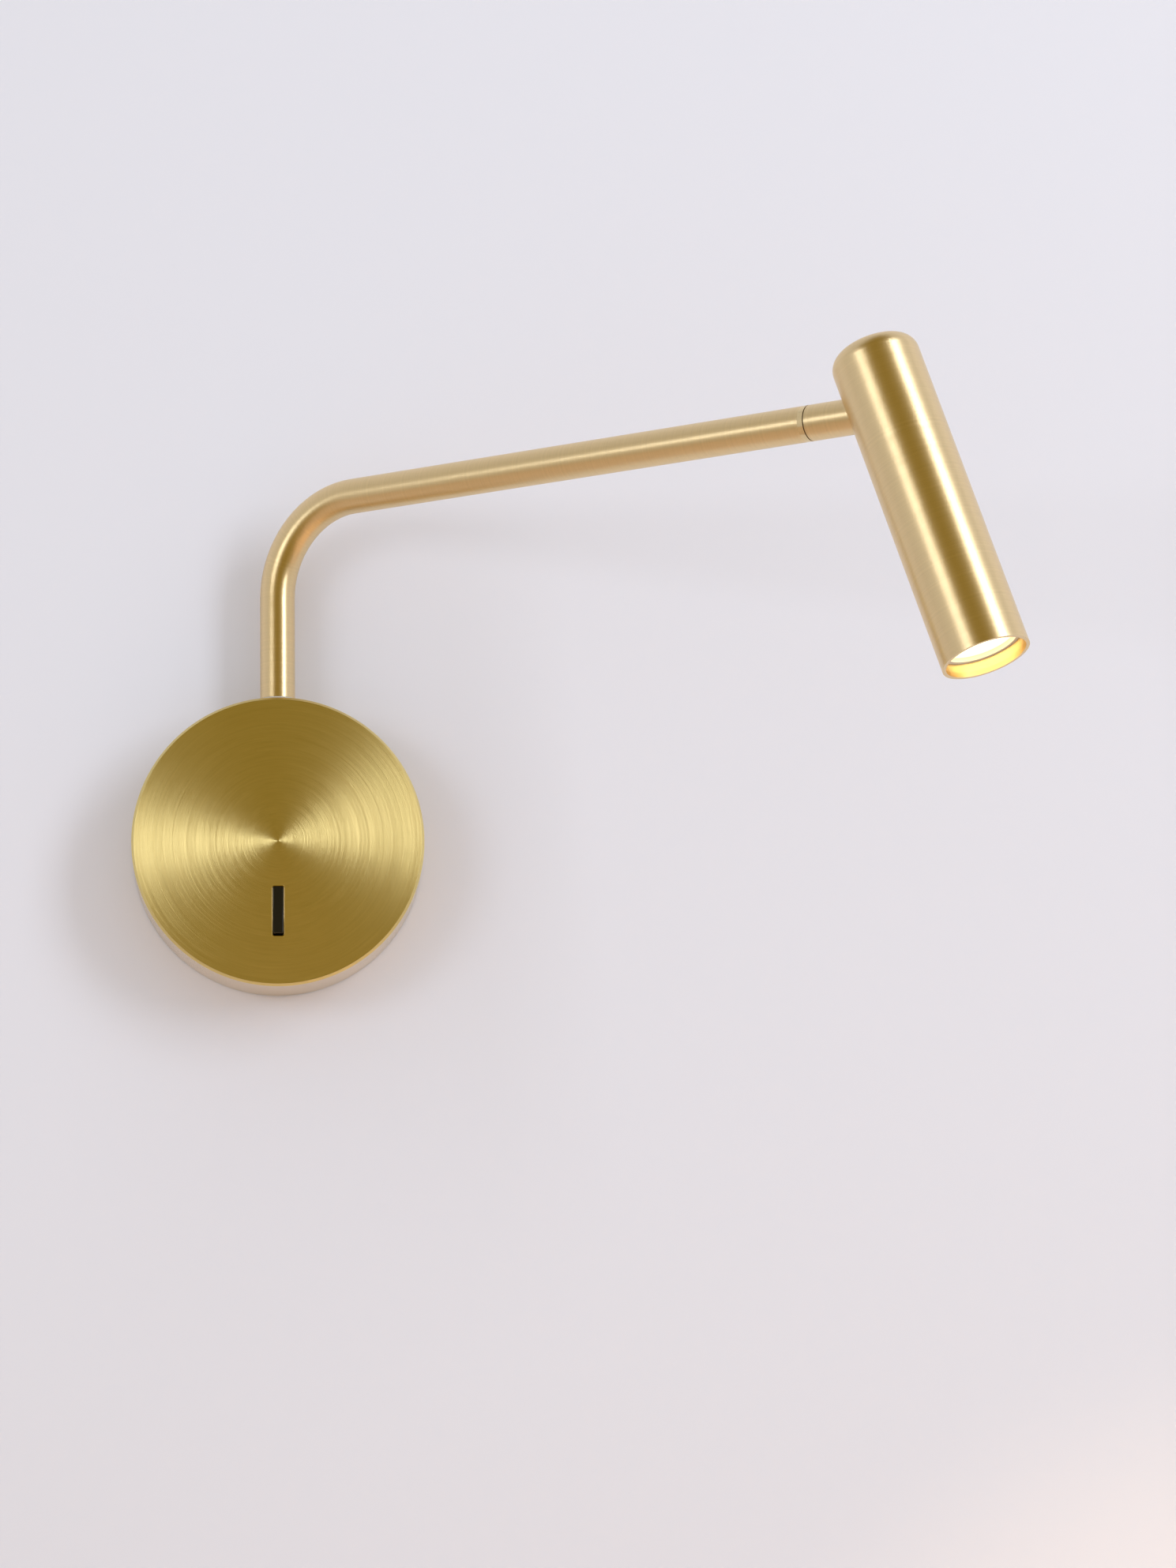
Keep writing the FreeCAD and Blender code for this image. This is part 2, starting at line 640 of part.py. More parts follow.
round_edges(shell, "dims.head_round", rim_at("dims.head_top", head_r))
round_edges(shell, "dims.head_round - dims.head_wall", rim_at("dims.head_top - dims.head_wall", head_in))
slot_r = f"({tube_r} + dims.slot_play)"
slot_high = (f"({head_r} * tan(dims.tilt_outward * 1 deg) + {tube_r} / cos(dims.tilt_outward * 1 deg)"
             f" + dims.slot_play - {slot_r})")
slot_low = (f"({head_r} * tan(dims.tilt_inward * 1 deg) + {tube_r} / cos(dims.tilt_inward * 1 deg)"
            f" + dims.slot_play - {slot_r})")
cut_pocket(shell, "YZ_Plane", f"-{head_r} - dims.head_wall", head_r,
           obround(("0", f"-{slot_low}"), ("0", slot_high), slot_r))
finish("head_shell", shell, head_frame)

yoke = new_body("tilt_yoke")
raise_pad(yoke, "XY_Plane", f"-{yoke_low}", "dims.yoke_thick", circle("0", "0", core_r))
cheek_inside = "(dims.tongue_thick / 2 + dims.tilt_washer_thick)"
for start in (cheek_inside, f"-{cheek_inside} - dims.cheek_thick"):
    raise_pad(yoke, "XZ_Plane", start, "dims.cheek_thick",
              obround(("0", "-dims.yoke_drop"), ("0", "0"), "dims.cheek_radius"))
cut_pocket(yoke, "XY_Plane", f"-{yoke_low} - dims.cheek_radius", "dims.cheek_radius",
           circle("0", "0", core_r))
cut_pocket(yoke, "XZ_Plane", f"-{core_r}", f"2 * {core_r}",
           circle("0", "0", "dims.tilt_pin_dia / 2 + dims.seat_gap"))
yoke_holes = [circle(f"{side}dims.yoke_screw_place", "0", "dims.small_screw_dia / 2 + dims.seat_gap")
              for side in ("", "-")]
wireway = circle("0", "dims.wireway_place", "dims.wireway_dia / 2")
cut_pocket(yoke, "XY_Plane", f"-{yoke_low}", "dims.yoke_thick", *yoke_holes, wireway)
finish("tilt_yoke", yoke, head_frame)

pin_half = f"({cheek_inside} + dims.cheek_thick)"
finish("tilt_pin", free_rod("tilt_pin", "dims.tilt_pin_dia / 2", f"2 * {pin_half}"),
       stand(head_frame, "0", pin_half, "0", "Y"))
washers = []
for index, start in enumerate((cheek_inside, "-dims.tongue_thick / 2")):
    washer = rod(f"washer_disc_{index}", "Y", "dims.cheek_radius", "dims.tilt_washer_thick", "0", start, "0")
    washer_hole = rod(f"washer_hole_{index}", "Y", "dims.tilt_pin_dia / 2 + dims.seat_gap",
                      "dims.tilt_washer_thick", "0", start, "0")
    washers.append(cut(f"washer_{index}", washer, [washer_hole]))
finish("tilt_washers", join("tilt_washers", "Compound", washers), head_frame)


def screw(name, x, y, seat, depth):
    """A pan-head screw along Z with its head towards the mouth for a negative depth, else the top."""
    up = depth.startswith("-")
    shank_low = seat if up else f"{seat} - {depth}"
    head_low = f"{seat} - dims.small_head_thick" if up else seat
    length = depth.lstrip("-")
    return join(name, "MultiFuse", [
        rod(name + "_shank", "Z", "dims.small_screw_dia / 2", length, x, y, shank_low),
        rod(name + "_head", "Z", "dims.small_head_dia / 2", "dims.small_head_thick", x, y, head_low)])


yoke_depth = "(dims.yoke_thick + dims.small_screw_depth)"
yoke_screws = [screw(f"yoke_screw_{index}", f"{side}dims.yoke_screw_place", "0", "-dims.yoke_drop", yoke_depth)
               for index, side in enumerate(("", "-"))]
finish("yoke_screws", join("yoke_screws", "Compound", yoke_screws), head_frame)

# The heat sink's fins: every fin is a full ring between two grooves that reach the core.
sink = new_body("heat_sink")
fin_zone = "(dims.sink_length - 2 * dims.sink_base)"
core_edge = "dims.sink_core_dia / 2"
profile = [(f"-{yoke_low}", "0"), (f"-{yoke_low}", core_r)]
for fin in range(SIZES["fin_count"]):
    groove_high = f"-{yoke_low} - dims.sink_base - {fin_zone} * {fin} / dims.fin_count"
    groove_low = f"{groove_high} - {fin_zone} / dims.fin_count * (1 - dims.fin_share)"
    profile += [(groove_high, core_r), (groove_high, core_edge), (groove_low, core_edge), (groove_low, core_r)]
profile += [(f"-{sink_low}", core_r), (f"-{sink_low}", "0")]
turn(sink, "Z", profile)
cut_pocket(sink, "XY_Plane", f"-{yoke_low} - dims.small_screw_depth", "dims.small_screw_depth", *yoke_holes)
board_holes = [circle(f"{side}dims.board_screw_place", "0", "dims.small_screw_dia / 2 + dims.seat_gap")
               for side in ("", "-")]
cut_pocket(sink, "XY_Plane", f"-{sink_low}", "dims.small_screw_depth", *board_holes)
cut_pocket(sink, "XY_Plane", f"-{sink_low}", "dims.sink_length", wireway)
finish("heat_sink", sink, head_frame)

finish("thermal_pad", free_rod("thermal_pad", "dims.pad_dia / 2", "dims.pad_thick"),
       stand(head_frame, "0", "0", f"-{board_top}"))
board = new_body("led_board")
raise_pad(board, "XY_Plane", f"-{board_low}", "dims.board_thick", circle("0", "0", "dims.board_dia / 2"),
          *board_holes, wireway)
finish("led_board", board, head_frame)
finish("led_emitter", free_rod("led_emitter", "dims.emitter_dia / 2", "dims.emitter_thick"),
       stand(head_frame, "0", "0", f"-{board_low} - dims.emitter_thick"))
board_depth = "-(dims.board_thick + dims.pad_thick + dims.small_screw_depth)"
board_screws = [screw(f"board_screw_{index}", f"{side}dims.board_screw_place", "0", f"-{board_low}", board_depth)
                for index, side in enumerate(("", "-"))]
finish("board_screws", join("board_screws", "Compound", board_screws), head_frame)

small_r = "dims.reflector_small_dia / 2"
cone_wall = "dims.reflector_wall"
turned("reflector", "Z", [
    (f"-{board_low}", small_r), (f"-{board_low}", f"{small_r} + {cone_wall}"),
    (f"-{reflector_low} + 2 * {cone_wall}", core_r), (f"-{reflector_low}", core_r),
    (f"-{reflector_low}", f"{core_r} - {cone_wall}")], head_frame)
finish("lens", free_rod("lens", core_r, "dims.lens_thick"), stand(head_frame, "0", "0", f"-{lens_low}"))
turned("lens_ring", "Z", [
    (f"-{ring_low}", f"{core_r} - dims.ring_section"), (f"-{ring_low}", core_r),
    (f"-{lens_low}", core_r), (f"-{lens_low}", f"{core_r} - dims.ring_section")], head_frame)

# ---- rocker switch -----------------------------------------------------------------------------
# The rocker's own frame has its pivot at the origin and its front towards -Y. Its front is a shallow
# vee, so that one half lies flush when it is pressed.

rocker_half = "(dims.slot_length / 2 - dims.rocker_end_gap)"
rocker_side = "(dims.slot_width / 2 - dims.rocker_side_gap)"
rocker_tip = "(-dims.rocker_pivot_depth - dims.rocker_proud)"
rocker = new_body("rocker")
raise_pad(rocker, "YZ_Plane", f"-{rocker_side}", f"2 * {rocker_side}", outline([
    (f"{rocker_tip} + dims.rocker_dish", "0"), (rocker_tip, f"-{rocker_half}"),
    ("dims.rocker_back", f"-{rocker_half}"), ("dims.rocker_back", rocker_half),
    (rocker_tip, rocker_half)]))


def rocker_corner(edge):
    middle = edge.CenterOfMass
    across = abs(abs(middle.x) - value(rocker_side))
    up = abs(abs(middle.z) - value(rocker_half))
    return across < 1e-4 and up < 1e-4


round_edges(rocker, "dims.slot_corner", rocker_corner)
trunnion_half = f"({rocker_side} + dims.trunnion_reach)"
raise_pad(rocker, "YZ_Plane", f"-{trunnion_half}", f"2 * {trunnion_half}",
          circle("0", "0", "dims.trunnion_dia / 2"))
finish("rocker", rocker, rocker_frame)

switch = new_body("switch_body")
slot_x = "dims.slot_width / 2"
slot_z = "dims.slot_length / 2"
pivot_depth = "(dims.canopy_depth - dims.rocker_pivot_depth)"
raise_pad(switch, "XZ_Plane", f"{face_in} - dims.switch_depth", "dims.switch_depth",
          rectangle(f"-{slot_x} - dims.switch_wall", f"-dims.rocker_drop - {slot_z} - dims.switch_wall",
                    f"{slot_x} + dims.switch_wall", f"-dims.rocker_drop + {slot_z} + dims.switch_wall"))
cut_pocket(switch, "XZ_Plane", f"{face_in} - dims.switch_recess", "dims.switch_recess",
           rectangle(f"-{slot_x}", f"-dims.rocker_drop - {slot_z}", slot_x, f"-dims.rocker_drop + {slot_z}"))
cut_pocket(switch, "YZ_Plane", f"-{trunnion_half} - dims.hole_play", f"2 * {trunnion_half} + 2 * dims.hole_play",
           circle(f"-{pivot_depth}", "-dims.rocker_drop", "dims.trunnion_dia / 2 + dims.running_fit"))
finish("switch_body", switch)
switch_back = f"({face_in} - dims.switch_depth)"
blades = [block(f"blade_{index}", "dims.blade_thick", "dims.blade_length", "dims.blade_width",
                "-dims.blade_thick / 2", f"-{switch_back}",
                f"-dims.rocker_drop {sign} dims.blade_pitch - dims.blade_width / 2")
          for index, sign in enumerate("+-")]
finish("switch_terminals", join("switch_terminals", "Compound", blades))

# ---- driver and terminals ----------------------------------------------------------------------

driver = new_body("led_driver")
driver_left = f"sqrt(({canopy_in} - dims.driver_clear) ^ 2 - (dims.driver_height / 2) ^ 2)"
driver_front = f"({face_in} - dims.tape_thick)"
raise_pad(driver, "XZ_Plane", f"{driver_front} - dims.driver_thick", "dims.driver_thick",
          rectangle(f"-{driver_left}", "-dims.driver_height / 2",
                    f"-{driver_left} + dims.driver_width", "dims.driver_height / 2"))
round_edges(driver, "dims.driver_round",
            lambda edge: edge.BoundBox.YLength > value("dims.driver_thick") / 2)
finish("led_driver", driver)
tape = new_body("driver_tape")
raise_pad(tape, "XZ_Plane", driver_front, "dims.tape_thick",
          rectangle(f"-{driver_left} + dims.tape_inset", "-dims.driver_height / 2 + dims.tape_inset",
                    f"-{driver_left} + dims.driver_width - dims.tape_inset",
                    "dims.driver_height / 2 - dims.tape_inset"))
finish("driver_tape", tape)

terminal = new_body("terminal_block")
raise_pad(terminal, "XZ_Plane", "dims.plate_thick", "dims.block_depth",
          rectangle("dims.block_left", "dims.block_low", "dims.block_left + dims.block_width",
                    "dims.block_low + dims.block_height"))
ways = range(3)
block_front = "(dims.plate_thick + dims.block_depth)"
way_places = [(f"dims.block_left + dims.block_width * {2 * way + 1} / 6",
               "dims.block_low + dims.block_height / 2") for way in ways]
cut_pocket(terminal, "XZ_Plane", f"{block_front} - dims.block_screw_depth", "dims.block_screw_depth",
           *[circle(x, z, "dims.block_screw_dia / 2 + dims.seat_gap") for x, z in way_places])
finish("terminal_block", terminal)
clamp_screws = [rod(f"clamp_screw_{way}", "Y", "dims.block_screw_dia / 2", "dims.block_screw_depth / 2", x,
                    f"-{block_front} + dims.block_screw_depth", z)
                for way, (x, z) in enumerate(way_places)]
finish("terminal_screws", join("terminal_screws", "Compound", clamp_screws))
earth_parts = [
    rod("earth_shank", "Y", "dims.earth_screw_dia / 2", "dims.plate_thick", "dims.earth_x", "0",
        "-dims.earth_drop"),
    rod("earth_head", "Y", "dims.earth_head_dia / 2", "dims.earth_head_thick", "dims.earth_x",
        "-dims.plate_thick", "-dims.earth_drop")]
finish("earth_screw", join("earth_screw", "MultiFuse", earth_parts))

# ---- checks and files --------------------------------------------------------------------------

doc.recompute()
for item in doc.Objects:
    if "Invalid" in item.State or "Error" in item.State:
        raise RuntimeError(f"{item.Name} did not compute")
os.makedirs("parts", exist_ok=True)
for item in sub_parts:
    if item.Shape.isNull() or not item.Shape.isValid():
        raise RuntimeError(f"{item.Label} has no valid shape")
    item.Shape.exportStep(f"parts/{item.Label}.step")
print(len(sub_parts), "sub-parts written")
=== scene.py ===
"""Bedside wall reading lamp in brushed brass, lit, as seen from below and a little to the left."""

import json

import bmesh
import bpy
from math import cos, radians, sin
from mathutils import Matrix, Vector


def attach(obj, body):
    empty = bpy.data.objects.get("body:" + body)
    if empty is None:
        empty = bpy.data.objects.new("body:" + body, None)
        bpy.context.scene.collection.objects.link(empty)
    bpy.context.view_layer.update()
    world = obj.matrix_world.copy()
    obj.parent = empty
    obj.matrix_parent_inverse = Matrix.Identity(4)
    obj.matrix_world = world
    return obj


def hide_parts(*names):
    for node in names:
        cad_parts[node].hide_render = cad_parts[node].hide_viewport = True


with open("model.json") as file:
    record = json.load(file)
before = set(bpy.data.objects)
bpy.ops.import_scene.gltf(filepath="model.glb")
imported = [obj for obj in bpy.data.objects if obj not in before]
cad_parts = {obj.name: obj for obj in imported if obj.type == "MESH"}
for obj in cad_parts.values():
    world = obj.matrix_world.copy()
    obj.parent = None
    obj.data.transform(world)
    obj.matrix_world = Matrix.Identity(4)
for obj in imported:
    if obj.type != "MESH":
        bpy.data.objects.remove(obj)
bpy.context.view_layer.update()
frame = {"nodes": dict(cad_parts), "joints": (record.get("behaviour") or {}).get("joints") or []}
nodes = frame["nodes"]

# ---- Canopy: a cup spun from brass sheet, 1.2 mm thick, with a narrow chamfer round its face. The face
# is brushed on the lathe in fine rings and the rim is brushed around. A slot for the rocker is stamped
# through the face, and holes in the rim take the two side screws and the arm's stud.

# A Mix node's first input, second input and output, for what it mixes.
MIX_SOCKETS = {"RGBA": (6, 7, 2), "VECTOR": (4, 5, 1)}


class Strand:
    """One output socket of a material's nodes, which can be used in sums."""

    def __init__(self, tree, socket=None):
        self.tree = tree
        self.socket = socket

    def node(self, kind, settings=None, sockets=None, out=0):
        """Adds a node with its settings and its sockets' values or links, and gives one output."""
        made = self.tree.nodes.new(kind)
        for key, setting in (settings or {}).items():
            setattr(made, key, setting)
        for key, given in (sockets or {}).items():
            if isinstance(given, Strand):
                self.tree.links.new(given.socket, made.inputs[key])
            else:
                made.inputs[key].default_value = given
        return Strand(self.tree, made.outputs[out])

    def parts(self):
        """The x, y and z of a vector."""
        split = self.node("ShaderNodeSeparateXYZ", None, {"Vector": self})
        return [Strand(self.tree, socket) for socket in split.socket.node.outputs]

    def math(self, operation, *given):
        return self.node("ShaderNodeMath", {"operation": operation}, dict(enumerate(given)))

    def vector(self, operation, *given, out="Vector"):
        return self.node("ShaderNodeVectorMath", {"operation": operation}, dict(enumerate(given)), out)

    def scaled(self, vector, by):
        return self.node("ShaderNodeVectorMath", {"operation": "SCALE"}, {0: vector, "Scale": by})

    def mix(self, factor, first, second, kind="RGBA"):
        """What lies between two colours or two vectors."""
        first_input, second_input, output = MIX_SOCKETS[kind]
        return self.node("ShaderNodeMix", {"data_type": kind},
                         {"Factor": factor, first_input: first, second_input: second}, output)

    def __add__(self, other):
        return self.math("ADD", self, other)

    def __radd__(self, other):
        return self.math("ADD", other, self)

    def __mul__(self, other):
        return self.math("MULTIPLY", self, other)

    def __rmul__(self, other):
        return self.math("MULTIPLY", other, self)


def finish_of(name, **sockets):
    """A material with its shader's plain sockets set, and a strand to build on."""
    material = bpy.data.materials.new(name)
    material.use_nodes = True
    tree = material.node_tree
    shader = tree.nodes["Principled BSDF"]
    for key, given in sockets.items():
        shader.inputs[key.replace("_", " ")].default_value = given
    return material, shader, Strand(tree)


def feed(shader, socket, strand):
    strand.tree.links.new(strand.socket, shader.inputs[socket])


def wear(*names_and_material):
    """Gives the last argument, a material, to the nodes named before it."""
    *names, material = names_and_material
    for name in names:
        nodes[name].data.materials.clear()
        nodes[name].data.materials.append(material)


STROKE_SWINGS = 14.0


def brush(strand, along, tilt, spread, grain):
    """A brushed normal: fine strokes lie square to the tilt direction and lean the surface along it."""
    strokes = strand.node("ShaderNodeTexNoise", {"noise_dimensions": "2D"}, {
        "Vector": strand.node("ShaderNodeCombineXYZ", None, {"X": along * grain}),
        "Scale": 1.0, "Detail": 2.0, "Roughness": 0.7})
    lean = strand.math("SINE", strokes * STROKE_SWINGS) * spread
    world_tilt = strand.node("ShaderNodeVectorTransform", {
        "vector_type": "VECTOR", "convert_from": "OBJECT", "convert_to": "WORLD"}, {"Vector": tilt})
    normal = strand.node("ShaderNodeNewGeometry", out="Normal")
    return strand.vector("NORMALIZE", strand.vector("ADD", normal, strand.scaled(world_tilt, lean)))


def tint(strand, colour, amount, shade):
    """The colour, darkened a little where shade is low."""
    dark = [channel * (1 - amount) for channel in colour]
    return strand.mix(shade, (*dark, 1), (*colour, 1))


DISC_BRASS = (0.80, 0.645, 0.27)
DISC_TINT = 0.14
# The rim's brass is painted paler than the face. This is a painted reflection of the pale wall just below
# the canopy.
RIM_PAINTED_REFLECTION_BRASS = (0.86, 0.69, 0.45)
RING_SPREAD = 0.36
RINGS_PER_METRE = 21000
BANDS_PER_METRE = 1500
BANDS_PER_RADIAN = 2.0
RIM_SPREAD = 0.04
RIM_LINES_PER_METRE = 14000
RIM_ROUGHNESS = 0.14
FACE_ADDED_ROUGHNESS = 0.15
ROUGHNESS_PLAY = 0.05
FACE_FROM = 0.6


def canopy_brass():
    material, shader, strand = finish_of("spun_brass", Metallic=1.0)
    x, y, z = strand.node("ShaderNodeTexCoord", out="Object").parts()
    from_axis = strand.node("ShaderNodeCombineXYZ", None, {"X": x, "Z": z})
    radius = strand.vector("LENGTH", from_axis, out="Value")
    ring_normal = brush(strand, radius, strand.vector("NORMALIZE", from_axis), RING_SPREAD, RINGS_PER_METRE)
    rim_normal = brush(strand, y, (0, 1, 0), RIM_SPREAD, RIM_LINES_PER_METRE)
    bands = strand.node("ShaderNodeTexNoise", {"noise_dimensions": "2D"}, {
        "Vector": strand.node("ShaderNodeCombineXYZ", None, {
            "X": radius * BANDS_PER_METRE, "Y": strand.math("ARCTAN2", z, x) * BANDS_PER_RADIAN}),
        "Scale": 1.0, "Detail": 3.0})
    frontwards = strand.node("ShaderNodeNewGeometry", out="Normal").parts()[1]
    face = strand.math("GREATER_THAN", strand.math("ABSOLUTE", frontwards), FACE_FROM)
    # The rim takes the paler brass, a painted reflection. The face takes the ring-brushed brass with its
    # bands.
    feed(shader, "Base Color", strand.mix(face, (*RIM_PAINTED_REFLECTION_BRASS, 1), tint(strand, DISC_BRASS, DISC_TINT, bands)))
    feed(shader, "Roughness", RIM_ROUGHNESS + face * (FACE_ADDED_ROUGHNESS + bands * ROUGHNESS_PLAY))
    feed(shader, "Normal", strand.mix(face, rim_normal, ring_normal, "VECTOR"))
    return material


wear("canopy_shell", canopy_brass())

# ---- Arm: a 12 mm brass tube, bent once and brushed around. The strokes follow the riser, the bend and
# the straight run, so they stay square to the tube all along. Its foot, the washer that it stands on and
# the collar at its other end match it.

MM = 0.001
joints = {joint["name"]: joint for joint in frame["joints"]}
along_arm = Vector(joints["head_swivel"]["axis"])
swing_place = Vector(joints["arm_swing"]["pos_m"])
swivel_place = Vector(joints["head_swivel"]["pos_m"])
BEND_R = 32 * MM
TUBE_BRASS = (0.83, 0.64, 0.35)
TUBE_TINT = 0.10
TUBE_ROUGHNESS = 0.28
TUBE_LINES_PER_METRE = 21000
TUBE_STREAKS_PER_METRE = 1200
ARM_SPREAD = 0.14


def arm_run(strand):
    """The length along the arm's centre line, over riser, bend and run, and its direction there."""
    place = strand.node("ShaderNodeTexCoord", out="Object")
    bend = Vector((swing_place.x, swing_place.y, swivel_place.z - BEND_R)) + along_arm * BEND_R
    from_bend = strand.vector("SUBTRACT", place, tuple(bend))
    outwards = strand.vector("DOT_PRODUCT", from_bend, tuple(along_arm), out="Value")
    upwards = strand.vector("DOT_PRODUCT", from_bend, (0, 0, 1), out="Value")
    short_of_run = strand.math("MINIMUM", outwards, 0.0) * -1.0
    over_riser = strand.math("MAXIMUM", upwards, 0.0)
    length = (strand.math("ARCTAN2", over_riser, short_of_run) * BEND_R
              + strand.math("MINIMUM", upwards, 0.0) + strand.math("MAXIMUM", outwards, 0.0))
    level = strand.scaled(tuple(along_arm), over_riser)
    upright = strand.node("ShaderNodeCombineXYZ", None, {"Z": short_of_run})
    return length, strand.vector("NORMALIZE", strand.vector("ADD", level, upright))


def tube_brass(name, run, spread):
    """Brass tube brushed around. run(strand) gives the length along the tube and its direction."""
    material, shader, strand = finish_of(name, Metallic=1.0)
    length, direction = run(strand)
    streaks = strand.node("ShaderNodeTexNoise", {"noise_dimensions": "1D"}, {
        "W": length * TUBE_STREAKS_PER_METRE, "Scale": 1.0, "Detail": 2.0})
    feed(shader, "Base Color", tint(strand, TUBE_BRASS, TUBE_TINT, streaks))
    feed(shader, "Roughness", TUBE_ROUGHNESS + streaks * ROUGHNESS_PLAY)
    feed(shader, "Normal", brush(strand, length, direction, spread, TUBE_LINES_PER_METRE))
    return material


wear("arm_tube", "arm_foot_insert", "saddle_washer", "swivel_collar",
     tube_brass("brushed_tube_brass", arm_run, ARM_SPREAD))

# ---- Head: a closed brass tube with a rounded top, brushed around its own axis. It is slotted on the
# arm's side, where it tilts on a pin. The mouth is open, and the lens sits a few millimetres inside it.

tilt_axis = Vector(joints["head_tilt"]["axis"])
tilt_place = Vector(joints["head_tilt"]["pos_m"])
HEAD_LEAN = radians(20.4)
HEAD_SPREAD = 0.16
down_head = Matrix.Rotation(HEAD_LEAN, 3, tilt_axis) @ Vector((0, 0, -1))


def head_run(strand):
    """The length along the head's axis from the tilt pin, and the axis."""
    place = strand.node("ShaderNodeTexCoord", out="Object")
    from_pin = strand.vector("SUBTRACT", place, tuple(tilt_place))
    return strand.vector("DOT_PRODUCT", from_pin, tuple(down_head), out="Value"), tuple(down_head)


wear("head_shell", tube_brass("brushed_head_brass", head_run, HEAD_SPREAD))

# ---- Light source: a warm emitter behind a frosted lens, both brightest at the middle and yellower
# towards the edge. They stand in a ring inside the head's mouth.

GLOW = (1.0, 0.86, 0.52)
GLOW_EDGE = (0.72, 0.55, 0.26)
GLOW_STRENGTH = 3.6
LENS_ROUGHNESS = 0.4
GLOW_FULL_TO = 6 * MM
GLOW_LOW_FROM = 13 * MM


def glowing(name):
    material, shader, strand = finish_of(name, Roughness=LENS_ROUGHNESS, Emission_Strength=GLOW_STRENGTH)
    place = strand.node("ShaderNodeTexCoord", out="Object")
    from_pin = strand.vector("SUBTRACT", place, tuple(tilt_place))
    beside = strand.vector("LENGTH", strand.vector("CROSS_PRODUCT", from_pin, tuple(down_head)), out="Value")
    centre = strand.node("ShaderNodeMapRange", None, {
        "Value": beside, "From Min": GLOW_FULL_TO, "From Max": GLOW_LOW_FROM, "To Min": 1.0, "To Max": 0.0})
    edge = [channel * factor for channel, factor in zip(GLOW, GLOW_EDGE)]
    glow = strand.mix(centre, (*edge, 1), (*GLOW, 1))
    feed(shader, "Emission Color", glow)
    feed(shader, "Base Color", glow)
    return material


wear("lens", "led_emitter", glowing("lit_lens"))

# ---- Rocker: a gloss black moulding that tips on a cross pin in the canopy's slot. Its front is a shallow
# valley between two pads, and all its edges are softened by the mould. The switch body behind it is a
# dull black moulding.

MOULDING_TINT = 0.12
MOULDING_ROUGHNESS_PLAY = 0.08
MOULDING_BUMP = 0.1 * MM


def moulding(name, colour, rough, grain, depth):
    material, shader, strand = finish_of(name)
    place = strand.node("ShaderNodeTexCoord", out="Object")
    speckle = strand.node("ShaderNodeTexNoise", None, {"Vector": place, "Scale": grain, "Detail": 3.0})
    bump = strand.node("ShaderNodeBump", None, {
        "Strength": depth, "Distance": MOULDING_BUMP, "Height": speckle})
    feed(shader, "Base Color", tint(strand, colour, MOULDING_TINT, speckle))
    feed(shader, "Roughness", rough - MOULDING_ROUGHNESS_PLAY / 2 + speckle * MOULDING_ROUGHNESS_PLAY)
    feed(shader, "Normal", bump)
    return material


PIVOT_PLACE = Vector((0, -22.6, -24.2)) * MM
CAP_WIDTH, CAP_DEPTH, CAP_HEIGHT = 3.5 * MM, 4.6 * MM, 16.4 * MM
CAP_MIDDLE_Y = -0.7 * MM
CAP_FRONT_Y = CAP_MIDDLE_Y - CAP_DEPTH / 2
VALLEY_DEPTH, VALLEY_ROUND, VALLEY_STEPS = 1.0 * MM, 2.5 * MM, 6
CORNER_ROUND, CORNER_STEPS = 0.6 * MM, 5
FRONT_ROUND, FRONT_STEPS = 0.22 * MM, 3
PIN_R, PIN_LENGTH, PIN_SIDES = 0.8 * MM, 4.9 * MM, 24
PIN_ROUND, PIN_STEPS = 0.15 * MM, 2
ROCKER_TURN = radians(-7)
SOFT_FRONT = 1.5 * MM
TOUCH, NEAR = 0.01 * MM, 0.1 * MM
SHARP = radians(50)
SMOOTH_TO = radians(35)


def pick(piece, kind, chosen):
    """Selects the vertices, edges or faces of a piece that chosen(item) is true for."""
    bpy.context.tool_settings.mesh_select_mode = (kind == "verts", kind == "edges", kind == "faces")
    bpy.ops.mesh.select_all(action="DESELECT")
    shape = bmesh.from_edit_mesh(piece.data)
    shape.normal_update()
    for item in getattr(shape, kind):
        if chosen(item):
            item.select_set(True)
    shape.select_flush_mode()
    bmesh.update_edit_mesh(piece.data)


def middle(edge):
    return (edge.verts[0].co + edge.verts[1].co) / 2


def is_sharp(edge):
    return len(edge.link_faces) == 2 and edge.calc_face_angle(0) > SHARP


bpy.ops.object.select_all(action="DESELECT")
bpy.ops.mesh.primitive_cube_add(
    size=1, location=(0, CAP_MIDDLE_Y, 0), scale=(CAP_WIDTH, CAP_DEPTH, CAP_HEIGHT))
rocker = bpy.context.object
rocker.name = "rocker_cap"
bpy.ops.object.transform_apply(location=True, rotation=False, scale=True)
bpy.ops.object.mode_set(mode="EDIT")
bpy.ops.mesh.select_all(action="SELECT")
bpy.ops.mesh.bisect(plane_co=(0, 0, 0), plane_no=(0, 0, 1))
pick(rocker, "verts", lambda v: abs(v.co.z) < TOUCH and v.co.y < CAP_FRONT_Y + NEAR)
bpy.ops.transform.translate(value=(0, VALLEY_DEPTH, 0))
pick(rocker, "edges", lambda e: abs(middle(e).z) < TOUCH
     and middle(e).y < CAP_FRONT_Y + VALLEY_DEPTH + NEAR)
bpy.ops.mesh.bevel(offset=VALLEY_ROUND, segments=VALLEY_STEPS, affect="EDGES")
pick(rocker, "edges", lambda e: abs(abs(middle(e).x) - CAP_WIDTH / 2) < TOUCH
     and abs(abs(middle(e).z) - CAP_HEIGHT / 2) < TOUCH)
bpy.ops.mesh.bevel(offset=CORNER_ROUND, segments=CORNER_STEPS, affect="EDGES")
pick(rocker, "edges", lambda e: is_sharp(e) and middle(e).y < CAP_FRONT_Y + SOFT_FRONT)
bpy.ops.mesh.bevel(offset=FRONT_ROUND, segments=FRONT_STEPS, affect="EDGES")
